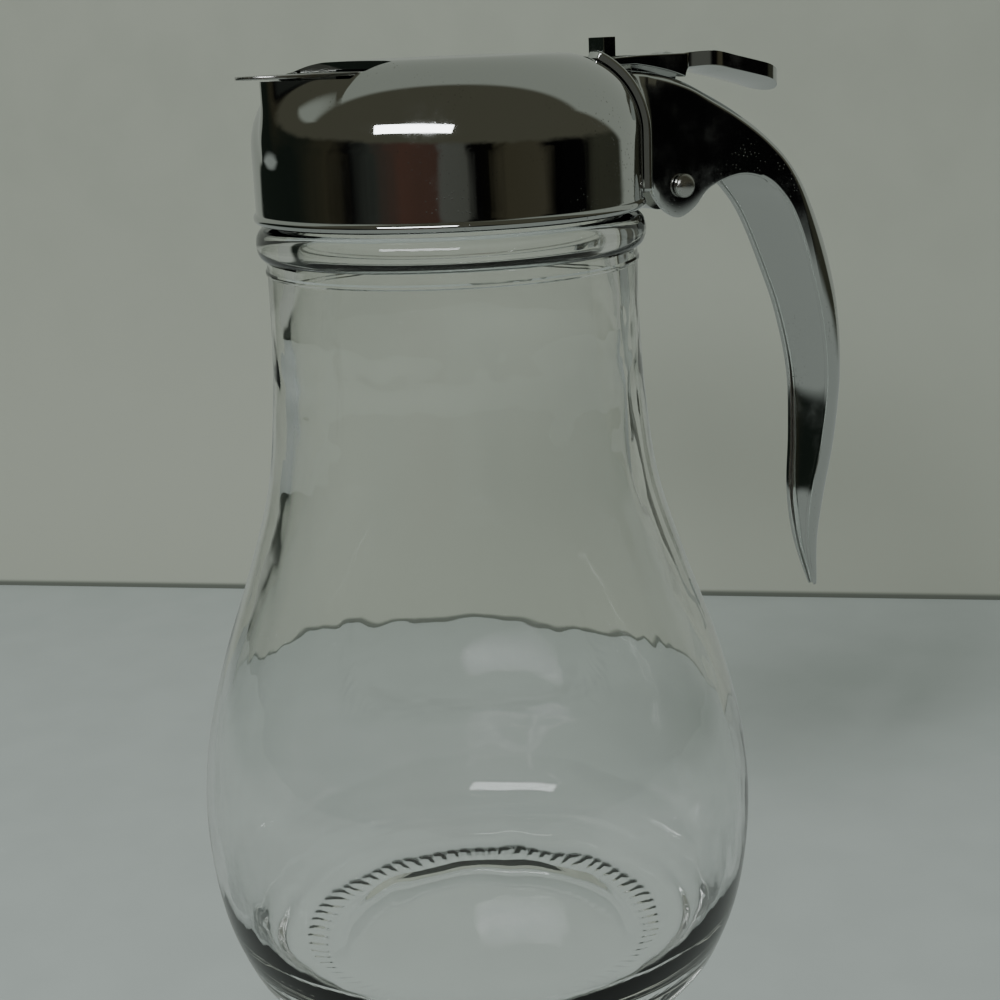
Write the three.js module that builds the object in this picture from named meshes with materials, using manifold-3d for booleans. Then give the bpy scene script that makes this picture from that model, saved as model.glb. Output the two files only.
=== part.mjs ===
// Syrup server: a pear-shaped glass jar under a chromed dome cap with a beak, a sliding cut-off blade,
// a sprung thumb lever on a rivet, and a claw handle that is hollow between its cheeks.
// Millimetres, +Z up. The origin is the centre of the jar's foot, and +X points along the handle.
import * as THREE from 'three';
import { mergeVertices } from 'three/addons/utils/BufferGeometryUtils.js';
import Module from 'manifold-3d';

const wasm = await Module();
wasm.setup();

// Driving dimensions of the jar
const footRadius = 33.0;
const bellyRadius = 45.3;
const bellyHeight = 29.6;
const waistRadius = 28.6;
const neckSeamHeight = 119.7;
const beadRadius = 30.0;
const beadHeight = 124.0;
const beadHalfHeight = 2.4;
const finishRadius = 26.6;
const mouthRadius = 23.4;
const mouthHeight = 138.4;
const floorThickness = 6.0;
const jarSides = 44;

// Driving dimensions of the cap
const capRadius = 29.6;
const capRim = 127.2;
const rollRadius = 0.8;
const rollStandsProud = 0.45;
const shoulderRadius = 12.3;
const capTop = 150.3;
const crown = 0.25;
const capWall = 1.4;
const hollowBend = 10.1;
const capSides = 48;
const gap = 0.3;
const reachPast = 5;

// Driving dimensions of the beak, its flat deck, and the tunnel that the blade runs back through
const noseCentre = -25.6;
const noseRadius = 4.2;
const beakHalfAngle = THREE.MathUtils.degToRad(54);
const beakHalfWidth = 11.5;
const beakFoot = 136.5;
const beakLean = 1.2;
const beakLeanHeight = 5.0;
const deckHeight = 148.1;
const deckBack = -15.2;
const tunnelHalfWidth = 5.75;
const tunnelTop = 149.2;
const pourHalfWidth = 2.8;
const pourBack = -21.0;

// Driving dimensions of the blade
const bladeTip = -33.4;
const bladeHalfWidth = 5.3;
const bladeThickness = 0.5;
const bladeShoulder = 24.0;
const tongueHalfWidth = 3.5;
const tongueEnd = 32.6;
const windowHalfWidth = 2.45;
const windowFront = 27.5;
const windowBack = 31.0;
const bladeBottom = deckHeight + gap;

// Driving dimensions of the lever
const pivotX = 38.7;
const pivotZ = 128.7;
const pinRadius = 1.5;
const rivetHeadRadius = 1.9;
const rivetHeadHeight = 1.2;
const eyeRadius = 4.2;
const studFront = 28.1;
const studLength = 2.3;
const studTop = 152.3;
const webHalfWidth = 2.1;
const armHalfWidth = 4.85;
const armFront = 24.6;
const armNotch = 33.4;
const armBottom = 147.9;
const armTop = 149.3;
const armNose = 0.7;
const finBack = 42.3;
const finBottom = 145.55;
const forkPlay = 0.35;
const webBottom = 145.6;
const webFloorTop = 146.3;
const webTop = 148.4;
const legTop = 143.0;
const legBack = 3.0;
const legFront = 3.2;
const padHalfWidth = 7.5;
const padFront = 41.0;
const padFlare = 7.0;
const padEnd = 63.0;
const padEndRadius = 6.5;
const padRoot = 0.4;
const padThickness = 2.6;
const padDish = 0.8;
const ribsFrom = 46.0;
const ribCount = 9;
const ribHeight = 0.4;

// Driving dimensions of the handle
const handleWall = 1.2;
const gripRecess = 0.9;
const cheekHalfWidth = 8.2;
const tipHalfWidth = 0.9;
const flangeThickness = 1.2;
const flangeBottom = 129.2;
const flangeTopRadius = 23.5;
const flangeHalfAngle = THREE.MathUtils.degToRad(33);
const bladeNotchFront = 15.0;
const bladeNotchFloor = 147.4;
const webSlotPlay = 0.5;
const webSlotFront = 26.5;
const webSlotBack = 49.5;
const webSlotFloor = 138.0;

const clearGlass = { color: 0xdfe6e0, roughness: 0.05, metalness: 0.0, transparent: true, opacity: 0.35 };
const brightChrome = { color: 0xc9cccd, roughness: 0.12, metalness: 1.0 };

function toSolid(geometry) {
  const bare = geometry.index ? geometry.toNonIndexed() : geometry.clone();
  bare.deleteAttribute('normal');
  bare.deleteAttribute('uv');
  const merged = mergeVertices(bare, 1e-4);
  const corners = merged.index.array;
  const kept = [];
  for (let i = 0; i < corners.length; i += 3) {
    const [a, b, c] = corners.slice(i, i + 3);
    if (a !== b && b !== c && c !== a) kept.push(a, b, c);
  }
  const vertProperties = new Float32Array(merged.attributes.position.array);
  return new wasm.Manifold(new wasm.Mesh({ numProp: 3, vertProperties, triVerts: new Uint32Array(kept) }));
}

function toGeometry(solid) {
  const { numProp, vertProperties, triVerts } = solid.getMesh();
  const positions = new Float32Array((vertProperties.length / numProp) * 3);
  for (let i = 0; i < positions.length / 3; i++) {
    positions.set(vertProperties.subarray(i * numProp, i * numProp + 3), i * 3);
  }
  const geometry = new THREE.BufferGeometry();
  geometry.setAttribute('position', new THREE.BufferAttribute(positions, 3));
  geometry.setIndex(new THREE.BufferAttribute(new Uint32Array(triVerts), 1));
  geometry.computeVertexNormals();
  return geometry;
}

function namedMesh(name, solid, look) {
  const mesh = new THREE.Mesh(toGeometry(solid), new THREE.MeshStandardMaterial(look));
  mesh.name = name;
  return mesh;
}

// Turns a profile of (radius, height) points, from the axis back to the axis, about +Z
function turned(profile, sides) {
  const lathe = new THREE.LatheGeometry(profile, sides);
  return toSolid(lathe.rotateX(Math.PI / 2));
}

function block(x0, x1, halfWidth, z0, z1) {
  const box = new THREE.BoxGeometry(x1 - x0, 2 * halfWidth, z1 - z0);
  return toSolid(box.translate((x0 + x1) / 2, 0, (z0 + z1) / 2));
}

// A flat outline in X and Y, raised from z0 to z1
function plate(shape, z0, z1, curveSegments = 8) {
  const raised = new THREE.ExtrudeGeometry(shape, { depth: z1 - z0, bevelEnabled: false, curveSegments });
  return toSolid(raised.translate(0, 0, z0));
}

// A side outline in X and Z, as thick as twice its half width across Y
function sidePlate(shape, halfWidth, curveSegments = 8) {
  const side = new THREE.ExtrudeGeometry(shape, { depth: 2 * halfWidth, bevelEnabled: false, curveSegments });
  return toSolid(side.rotateX(Math.PI / 2).translate(0, halfWidth, 0));
}

// Joins closed loops of points, all alike, into one skinned solid with flat ends
function loft(loops, flatEnd) {
  const count = loops[0].length;
  const positions = loops.flat().flatMap((point) => [point.x, point.y, point.z]);
  const corners = [];
  for (let row = 0; row + 1 < loops.length; row++) {
    for (let i = 0; i < count; i++) {
      const next = (i + 1) % count;
      const [near, far] = [row * count, (row + 1) * count];
      corners.push(near + i, near + next, far + next, near + i, far + next, far + i);
    }
  }
  const last = (loops.length - 1) * count;
  const clockwise = THREE.ShapeUtils.isClockWise(flatEnd);
  for (const ear of THREE.ShapeUtils.triangulateShape(flatEnd, [])) {
    const turn = THREE.ShapeUtils.isClockWise(ear.map((i) => flatEnd[i]));
    const [a, b, c] = turn === clockwise ? ear : [ear[0], ear[2], ear[1]];
    corners.push(a, c, b, last + a, last + b, last + c);
  }
  const geometry = new THREE.BufferGeometry();
  geometry.setAttribute('position', new THREE.Float32BufferAttribute(positions, 3));
  geometry.setIndex(corners);
  const solid = toSolid(geometry);
  if (solid.volume() > 0) return solid;
  for (let i = 0; i < corners.length; i += 3) {
    [corners[i + 1], corners[i + 2]] = [corners[i + 2], corners[i + 1]];
  }
  geometry.setIndex(corners);
  return toSolid(geometry);
}

const at = (x, y) => new THREE.Vector2(x, y);

function arc(centreX, centreY, radiusX, radiusY, from, to, steps) {
  return Array.from({ length: steps + 1 }, (_, i) => {
    const angle = from + ((to - from) * i) / steps;
    return at(centreX + radiusX * Math.cos(angle), centreY + radiusY * Math.sin(angle));
  });
}

// Glass jar: foot, heel, belly, waist, bead and the plain finish that the cap screws down on
function glassJar() {
  const heel = new THREE.QuadraticBezierCurve(at(footRadius, 0), at(36.6, 0.2), at(38.4, 3.6)).getPoints(3);
  const outer = new THREE.SplineCurve([
    at(38.4, 3.6),
    at(40.9, 7.3),
    at(44.0, 16.6),
    at(bellyRadius, bellyHeight),
    at(44.2, 42.6),
    at(40.5, 56.9),
    at(35.4, 71.1),
    at(31.1, 85.3),
    at(29.3, 99.5),
    at(28.7, 110.2),
    at(waistRadius, neckSeamHeight),
  ]).getPoints(18);
  const bead = arc(
    waistRadius, beadHeight, beadRadius - waistRadius, beadHalfHeight, -Math.PI / 2, Math.PI / 2, 6);
  const lipRadius = (finishRadius - mouthRadius) / 2;
  const lip = arc(
    finishRadius - lipRadius, mouthHeight - lipRadius, lipRadius, lipRadius, 0, Math.PI, 4);
  const inner = new THREE.SplineCurve([
    at(mouthRadius, neckSeamHeight + 6),
    at(25.4, 106.0),
    at(25.7, 99.0),
    at(27.5, 85.3),
    at(32.2, 71.1),
    at(37.7, 56.9),
    at(41.9, 42.6),
    at(bellyRadius - 2.2, bellyHeight),
    at(41.4, 16.6),
    at(36.0, 9.0),
    at(27.0, floorThickness + 0.3),
  ]).getPoints(16);
  const ledge = at(finishRadius, beadHeight + beadHalfHeight);
  const outside = [at(0, 0), ...heel, ...outer.slice(1), ...bead, ledge];
  return turned([...outside, ...lip, ...inner, at(0, floorThickness)], jarSides);
}

// Outer skin of the cap from its rim to the axis, swollen by a clearance
function capSkin(clearance) {
  const shoulderX = capRadius - shoulderRadius;
  const shoulderZ = capTop - shoulderRadius;
  const swollen = shoulderRadius + clearance;
  const shoulder = arc(shoulderX, shoulderZ, swollen, swollen, 0, Math.PI / 2, 10);
  return [...shoulder, at(0, capTop + crown + clearance)];
}

// Plan of the beak: a round nose whose flanks run out to straight sides
function beakPlan(inset, setBack) {
  const radius = noseRadius - inset;
  const halfWidth = beakHalfWidth - inset;
  const tangent = Math.PI / 2 + beakHalfAngle;
  const nose = arc(noseCentre + setBack, 0, radius, radius, tangent, 2 * Math.PI - tangent, 8);
  const cornerX = nose[0].x + (halfWidth - nose[0].y) / Math.tan(beakHalfAngle);
  return [at(deckBack, -halfWidth), at(deckBack, halfWidth), at(cornerX, halfWidth),
    ...nose, at(cornerX, -halfWidth)];
}

// The nose leans back into the wall at its foot and stands upright at its top
function beak(inset, foot, top) {
  const levels = [
    [foot, beakLean], [foot + beakLeanHeight / 2, beakLean / 3], [foot + beakLeanHeight, 0], [top, 0]];
  const plans = levels.map(([z, setBack]) => (
    beakPlan(inset, setBack).map((point) => new THREE.Vector3(point.x, point.y, z))));
  return loft(plans, beakPlan(inset, 0));
}

function cap() {
  const hollow = capRadius - capWall;
  const hollowTop = deckHeight - capWall;
  const quarter = Math.PI / 2;
  const rollX = capRadius + rollStandsProud - rollRadius;
  const roll = arc(rollX, capRim + rollRadius, rollRadius, rollRadius, -quarter, quarter, 5);
  const skin = turned([at(0, capRim), ...roll, ...capSkin(0)], capSides);
  const inside = turned([
    at(0, capRim - reachPast),
    at(hollow, capRim - reachPast),
    ...arc(hollow - hollowBend, hollowTop - hollowBend, hollowBend, hollowBend, 0, quarter, 6),
    at(0, hollowTop),
  ], capSides);
  const pour = new THREE.Shape();
  pour.moveTo(pourBack, pourHalfWidth);
  pour.lineTo(noseCentre, pourHalfWidth);
  pour.absarc(noseCentre, 0, pourHalfWidth, Math.PI / 2, 1.5 * Math.PI, false);
  pour.lineTo(pourBack, -pourHalfWidth);
  return skin
    .add(beak(0, beakFoot, deckHeight))
    .subtract(inside)
    .subtract(beak(capWall, beakFoot + beakLeanHeight / 2, hollowTop))
    .subtract(block(-capRadius - reachPast, deckBack, beakHalfWidth, deckHeight, capTop + reachPast))
    .subtract(block(deckBack - reachPast, capRadius + reachPast, tunnelHalfWidth, deckHeight, tunnelTop))
    .subtract(plate(pour, hollowTop - capWall, deckHeight + capWall));
}

// Cut-off blade: a thin strip with a round front and a windowed tongue for the stud
function blade() {
  const strip = new THREE.Shape();
  const frontCentre = bladeTip + bladeHalfWidth;
  strip.moveTo(bladeShoulder, bladeHalfWidth);
  strip.absarc(frontCentre, 0, bladeHalfWidth, Math.PI / 2, 1.5 * Math.PI, false);
  strip.lineTo(bladeShoulder, -bladeHalfWidth);
  strip.lineTo(bladeShoulder, -tongueHalfWidth);
  strip.lineTo(tongueEnd, -tongueHalfWidth);
  strip.lineTo(tongueEnd, tongueHalfWidth);
  strip.lineTo(bladeShoulder, tongueHalfWidth);
  const window = new THREE.Path();
  window.moveTo(windowFront, -windowHalfWidth);
  window.lineTo(windowFront, windowHalfWidth);
  window.lineTo(windowBack, windowHalfWidth);
  window.lineTo(windowBack, -windowHalfWidth);
  strip.holes.push(window);
  return plate(strip, bladeBottom, bladeBottom + bladeThickness, 10);
}

// Half width of the thumb pad along its length: the arm flares out and the end is round
function padHalfWidthAt(x) {
  const flare = THREE.MathUtils.smoothstep(x, padFront, padFront + padFlare);
  const side = THREE.MathUtils.lerp(armHalfWidth - padRoot, padHalfWidth, flare);
  const past = Math.max(0, (x - (padEnd - padEndRadius)) / padEndRadius);
  return side * Math.sqrt(Math.max(0.02, 1 - past * past));
}

// Thumb pad: dished across, falling away along its length, with cross ribs on top
function thumbPad() {
  const fall = new THREE.SplineCurve([
    at(padFront, 149.6), at(ribsFrom, 149.9), at(51, 148.9), at(59.4, 147), at(padEnd, 145.9)]);
  const rows = 4 * ribCount;
  const across = 8;
  const loops = Array.from({ length: rows + 1 }, (_, row) => {
    const t = row / rows;
    const spine = fall.getPoint(t);
    const halfWidth = padHalfWidthAt(spine.x);
    const ribbed = spine.x > ribsFrom && row < rows - 1 && row % 3 === 0;
    const top = [];
    const bottom = [];
    for (let i = 0; i <= across; i++) {
      const side = (2 * i) / across - 1;
      const sag = padDish * (1 - side * side);
      const y = side * halfWidth;
      top.push(new THREE.Vector3(spine.x, y, spine.y - sag + (ribbed ? 0 : -ribHeight)));
      bottom.unshift(new THREE.Vector3(spine.x, y, spine.y - sag - padThickness));
    }
    return [...top, ...bottom];
  });
  return loft(loops, loops[0].map((point) => at(point.y, point.z)));
}

// Lever: stud, forked arm, thumb pad, and a web that goes down between the cheeks to the rivet
function lever() {
  const web = new THREE.Shape();
  const studBack = studFront + studLength;
  const legMiddle = (pivotZ + webTop) / 2;
  web.moveTo(studFront, webBottom);
  web.lineTo(studFront, studTop);
  web.lineTo(studBack, studTop);
  web.lineTo(studBack, webFloorTop);
  web.lineTo(armNotch, webFloorTop);
  web.lineTo(armNotch, webTop);
  web.lineTo(pivotX + eyeRadius, webTop);
  web.quadraticCurveTo(pivotX + legBack, legTop, pivotX + legBack, legMiddle);
  web.lineTo(pivotX + eyeRadius, pivotZ);
  web.absarc(pivotX, pivotZ, eyeRadius, 0, -Math.PI, true);
  web.quadraticCurveTo(pivotX - legBack, legMiddle, pivotX - legFront, legTop);
  web.quadraticCurveTo(pivotX - eyeRadius, webBottom, pivotX - 2 * legFront, webBottom);
  const arm = new THREE.Shape();
  const armBack = padFront + legBack;
  arm.moveTo(armFront, armTop - 1.5 * armNose);
  arm.lineTo(armFront, armTop - armNose / 2);
  arm.lineTo(armNotch, armTop);
  arm.lineTo(armBack, armTop);
  arm.lineTo(armBack, armBottom);
  arm.quadraticCurveTo(finBack, armBottom - 1, finBack, finBottom);
  arm.quadraticCurveTo(pivotX, webFloorTop + armNose, armNotch - 1, armBottom);
  arm.lineTo(armFront + legBack, armBottom);
  const fork = block(armFront - reachPast, armNotch, tongueHalfWidth + forkPlay, webBottom, studTop);
  return sidePlate(arm, armHalfWidth)
    .subtract(fork)
    .add(sidePlate(web, webHalfWidth, 10))
    .add(thumbPad())
    .subtract(pinBore());
}

function turnedAcross(profile, sides) {
  return toSolid(new THREE.LatheGeometry(profile, sides).translate(pivotX, 0, pivotZ));
}

function pinBore() {
  const reach = cheekHalfWidth + reachPast;
  const radius = pinRadius + gap;
  return turnedAcross([at(0, -reach), at(radius, -reach), at(radius, reach), at(0, reach)], 20);
}

// Rivet that the lever turns on, with a domed head at each end
function pivotRivet() {
  const seat = cheekHalfWidth + gap;
  const dome = arc(0, seat, rivetHeadRadius, rivetHeadHeight, 0, Math.PI / 2, 5).slice(0, -1);
  const half = [at(pinRadius, seat), ...dome, at(0, seat + rivetHeadHeight)];
  const otherHalf = half.map((point) => at(point.x, -point.y)).reverse();
  return turnedAcross([...otherHalf, ...half], 20);
}

// Handle stations from the cap to the tip: the spine's x and z, then the free edge's x and z
const stations = [
  [27.0, 147.6, 28.6, 129.8],
  [31.6, 147.2, 32.2, 129.2],
  [33.6, 147.0, 33.3, 127.2],
  [36.0, 146.7, 35.4, 124.8],
  [38.5, 146.2, 38.2, 123.6],
  [41.0, 145.5, 41.4, 125.0],
  [44.5, 144.0, 44.6, 127.9],
  [50.0, 141.3, 50.8, 129.5],
  [56.5, 137.4, 56.4, 128.3],
  [63.0, 132.4, 60.4, 125.2],
  [68.6, 126.0, 63.9, 120.2],
  [74.1, 116.0, 67.8, 111.5],
  [77.6, 104.5, 70.9, 102.8],
  [78.8, 92.2, 73.0, 91.8],
  [78.0, 79.4, 72.6, 80.4],
  [76.3, 69.0, 71.3, 70.0],
  [75.3, 60.5, 71.8, 60.8],
  [75.6, 51.6, 74.6, 51.4],
];
const gripStart = 9;

// Half width of the handle at a station: even along the cheeks, then tapering to the tip
function halfWidthAt(station) {
  const along = Math.max(0, (station - gripStart) / (stations.length - 1 - gripStart));
  return THREE.MathUtils.lerp(cheekHalfWidth, tipHalfWidth, along ** 1.6);
}

// One section of the handle, in its own plane: across, and down from the spine.
// It is a hollow U between the cheeks, and filled up to a shallow recess along the grip
function handleSection(halfWidth, depth, back, filled) {
  const wall = Math.min(handleWall, 0.45 * halfWidth, 0.45 * depth);
  const recess = Math.min(gripRecess, 0.45 * depth);
  const floor = THREE.MathUtils.lerp(wall, depth - recess, filled);
  const bend = THREE.MathUtils.lerp(back, recess / 2, filled);
  const outer = arc(0, back, halfWidth, back, -Math.PI, 0, 8);
  const inner = arc(0, floor + bend, halfWidth - wall, bend, 0, -Math.PI, 8);
  return [at(-halfWidth, depth), ...outer, at(halfWidth, depth),
    at(halfWidth - wall, depth), ...inner, at(wall - halfWidth, depth)];
}

// Claw: sections ruled from the spine to the free edge, from the cap to the tip
function claw() {
  const curve = (i, j) => new THREE.CatmullRomCurve3(
    stations.map((row) => new THREE.Vector3(row[i], row[j], 0)), false, 'catmullrom', 0.5);
  const [spine, edge] = [curve(0, 1), curve(2, 3)];
  const spans = stations.length - 1;
  const steps = 3 * spans;
  let flatEnd = null;
  const loops = Array.from({ length: steps + 1 }, (_, row) => {
    const t = row / steps;
    const from = spine.getPoint(t);
    const to = edge.getPoint(t);
    const halfWidth = halfWidthAt(t * spans);
    const back = Math.min(1 + 0.26 * t * spans, 0.5 * halfWidth);
    const depth = from.distanceTo(to);
    const down = to.clone().sub(from).normalize();
    const filled = THREE.MathUtils.smoothstep(t * spans, gripStart - 2, gripStart);
    const outline = handleSection(halfWidth, depth, back, filled);
    flatEnd = flatEnd ?? outline;
    return outline.map((point) => (
      new THREE.Vector3(from.x + down.x * point.y, point.x, from.y + down.y * point.y)));
  });
  return loft(loops, flatEnd);
}

// Saddle flange that hugs the dome at the back of the cap
function flange() {
  const shoulderX = capRadius - shoulderRadius;
  const shoulderZ = capTop - shoulderRadius;
  const inner = shoulderRadius + gap;
  const outer = inner + flangeThickness;
  const steepest = Math.acos((flangeTopRadius - shoulderX) / outer);
  const ring = [
    at(shoulderX + inner, flangeBottom),
    at(shoulderX + outer, flangeBottom),
    ...arc(shoulderX, shoulderZ, outer, outer, 0, steepest, 6),
    ...arc(shoulderX, shoulderZ, inner, inner, steepest, 0, 6),
  ];
  ring.push(ring[0].clone());
  const wedge = new THREE.Shape();
  const reach = 2 * capRadius;
  wedge.moveTo(0, 0);
  wedge.lineTo(reach, -reach * Math.tan(flangeHalfAngle));
  wedge.lineTo(reach, reach * Math.tan(flangeHalfAngle));
  return turned(ring, capSides).intersect(plate(wedge, flangeBottom - reachPast, capTop + reachPast));
}

function handle() {
  const under = capRim - reachPast;
  const aboveCap = turned([at(0, under), at(capRadius + gap, under), ...capSkin(gap)], capSides);
  const over = capTop + 2 * reachPast;
  return claw()
    .add(flange())
    .subtract(aboveCap)
    .subtract(block(bladeNotchFront, armNotch, tunnelHalfWidth + gap, bladeNotchFloor, over))
    .subtract(block(webSlotFront, webSlotBack, webHalfWidth + webSlotPlay, webSlotFloor, over))
    .subtract(pinBore());
}

const syrupServer = new THREE.Group();
syrupServer.add(
  namedMesh('glass_jar', glassJar(), clearGlass),
  namedMesh('cap', cap(), brightChrome),
  namedMesh('blade', blade(), brightChrome),
  namedMesh('lever', lever(), brightChrome),
  namedMesh('pivot_rivet', pivotRivet(), brightChrome),
  namedMesh('handle', handle(), brightChrome),
);

export default syrupServer;
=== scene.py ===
import math

import bmesh
import bpy
from mathutils import Matrix, Vector
from mathutils.geometry import interpolate_bezier


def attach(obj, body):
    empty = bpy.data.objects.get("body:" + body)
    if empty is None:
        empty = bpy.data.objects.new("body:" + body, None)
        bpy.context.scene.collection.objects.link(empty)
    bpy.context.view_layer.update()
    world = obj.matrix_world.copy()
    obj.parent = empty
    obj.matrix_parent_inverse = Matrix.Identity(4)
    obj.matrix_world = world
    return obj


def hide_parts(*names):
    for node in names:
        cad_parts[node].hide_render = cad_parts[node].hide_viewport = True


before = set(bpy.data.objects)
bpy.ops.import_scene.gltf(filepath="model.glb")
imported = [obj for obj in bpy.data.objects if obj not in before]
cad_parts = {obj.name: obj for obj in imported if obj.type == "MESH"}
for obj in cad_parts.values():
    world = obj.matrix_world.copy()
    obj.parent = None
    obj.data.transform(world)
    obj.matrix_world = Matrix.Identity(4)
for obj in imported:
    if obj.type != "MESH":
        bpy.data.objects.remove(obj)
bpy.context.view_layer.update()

mm = 0.001
print("frame loaded:", sorted(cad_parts))


# modelling helpers

def freshStart():
    if bpy.context.object and bpy.context.object.mode != "OBJECT":
        bpy.ops.object.mode_set(mode="OBJECT")
    bpy.ops.object.select_all(action="DESELECT")


def workOn(piece):
    freshStart()
    piece.select_set(True)
    bpy.context.view_layer.objects.active = piece


def pick(test, kind="VERT"):  # selects the points, edges or faces that pass the test
    bpy.ops.mesh.select_mode(type=kind)
    bpy.ops.mesh.select_all(action="DESELECT")
    mesh = bmesh.from_edit_mesh(bpy.context.object.data)
    group = {"VERT": mesh.verts, "EDGE": mesh.edges, "FACE": mesh.faces}[kind]
    for part in group:
        if test(part):
            part.select_set(True)
    bmesh.update_edit_mesh(bpy.context.object.data)


def cleanUp(tolerance=1e-6):  # in edit mode: closes seams and poles, turns faces outwards
    bpy.ops.mesh.select_mode(type="VERT")
    bpy.ops.mesh.select_all(action="SELECT")
    bpy.ops.mesh.remove_doubles(threshold=tolerance)
    bpy.ops.mesh.select_all(action="SELECT")
    bpy.ops.mesh.normals_make_consistent(inside=False)


def ringAt(name, places):  # a circle whose points are moved to the places, in mm
    freshStart()
    bpy.ops.mesh.primitive_circle_add(vertices=len(places), radius=mm, location=(0, 0, 0))
    piece = bpy.context.object
    piece.name = piece.data.name = name
    for point, place in zip(piece.data.vertices, places):
        point.co = Vector(place) * mm
    return piece


def spun(name, profile, steps, axis="Z", centre=(0, 0, 0)):  # profile of (radius, height) from axis to axis
    along = {"Z": lambda r, h: (r, 0, h), "Y": lambda r, h: (r, h, 0)}[axis]
    middle = Vector(centre)
    piece = ringAt(name, [middle + Vector(along(r, h)) for r, h in profile])
    last = len(profile) - 1
    bpy.ops.object.mode_set(mode="EDIT")
    pick(lambda edge: {v.index for v in edge.verts} == {0, last}, "EDGE")
    bpy.ops.mesh.delete(type="EDGE")
    bpy.ops.mesh.select_mode(type="VERT")
    bpy.ops.mesh.select_all(action="SELECT")
    turnAxis = {"Z": (0, 0, 1), "Y": (0, 1, 0)}[axis]
    bpy.ops.mesh.spin(steps=steps, angle=math.tau, center=middle * mm, axis=turnAxis)
    cleanUp()
    bpy.ops.object.mode_set(mode="OBJECT")
    return piece


def plateFrom(name, outline, low, high, plane="XY"):  # an outline filled and extruded from low to high, in mm
    stand = {"XY": lambda a, b: (a, b, low), "XZ": lambda a, b: (a, low, b)}[plane]
    rise = {"XY": (0, 0, high - low), "XZ": (0, high - low, 0)}[plane]
    piece = ringAt(name, [stand(a, b) for a, b in outline])
    bpy.ops.object.mode_set(mode="EDIT")
    bpy.ops.mesh.select_all(action="SELECT")
    bpy.ops.mesh.edge_face_add()
    bpy.ops.mesh.extrude_region_move(TRANSFORM_OT_translate={"value": Vector(rise) * mm})
    cleanUp()
    bpy.ops.object.mode_set(mode="OBJECT")
    return piece


def blockAt(name, low, high):  # a cube between two corners, in mm
    freshStart()
    low, high = Vector(low) * mm, Vector(high) * mm
    bpy.ops.mesh.primitive_cube_add(size=1, location=(low + high) / 2, scale=high - low)
    bpy.ops.object.transform_apply(location=True, rotation=True, scale=True)
    piece = bpy.context.object
    piece.name = piece.data.name = name
    return piece


def gridOf(name, rows, columns, placeAt):  # a grid whose points go where placeAt(row, column) says, in mm
    freshStart()
    bpy.ops.mesh.primitive_grid_add(x_subdivisions=columns - 1, y_subdivisions=rows - 1, size=mm)
    piece = bpy.context.object
    piece.name = piece.data.name = name
    for point in piece.data.vertices:
        row, column = divmod(point.index, columns)
        point.co = Vector(placeAt(row, column)) * mm
    return piece


def modify(piece, kind, **settings):  # adds a modifier, sets it and applies it
    workOn(piece)
    bpy.ops.object.modifier_add(type=kind)
    modifier = piece.modifiers[-1]
    for name, value in settings.items():
        setattr(modifier, name, value)
    bpy.ops.object.modifier_apply(modifier=modifier.name)


def cutWith(piece, tool, operation="DIFFERENCE"):
    modify(piece, "BOOLEAN", operation=operation, object=tool, solver="MANIFOLD")
    bpy.data.objects.remove(tool)


def roundEdges(piece, width, segments, degrees):  # bevels the edges that turn by more than the angle
    modify(piece, "BEVEL", width=width * mm, segments=segments, limit_method="ANGLE",
           angle_limit=math.radians(degrees))


def smoothBy(piece, degrees, keepFlat=True):  # flat faces stay flat in the mirror finish
    workOn(piece)
    bpy.ops.object.shade_smooth_by_angle(angle=math.radians(degrees))
    if keepFlat:
        modify(piece, "WEIGHTED_NORMAL", keep_sharp=True)


def arc(centre, radius, start, end, steps):  # points on an arc, in degrees; radius may be (rx, ry)
    rx, ry = radius if isinstance(radius, tuple) else (radius, radius)
    turns = [math.radians(start + (end - start) * i / steps) for i in range(steps + 1)]
    return [(centre[0] + rx * math.cos(a), centre[1] + ry * math.sin(a)) for a in turns]


def splineThrough(points, perSpan):  # a smooth path through given points
    points = [Vector(p) for p in points]
    path = [points[0]]
    for i in range(len(points) - 1):
        before, start = points[max(i - 1, 0)], points[i]
        end, after = points[i + 1], points[min(i + 2, len(points) - 1)]
        path += interpolate_bezier(start, start + (end - before) / 6, end - (after - start) / 6, end, perSpan + 1)[1:]
    return path


def blend(edge0, edge1, value):
    t = min(max((value - edge0) / (edge1 - edge0), 0), 1)
    return t * t * (3 - 2 * t)


def softMax(a, b, reach):  # the larger of two, rounded over where they cross
    near = max(reach - abs(a - b), 0) / reach
    return max(a, b) + near * near * reach / 4


# shader helpers

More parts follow.
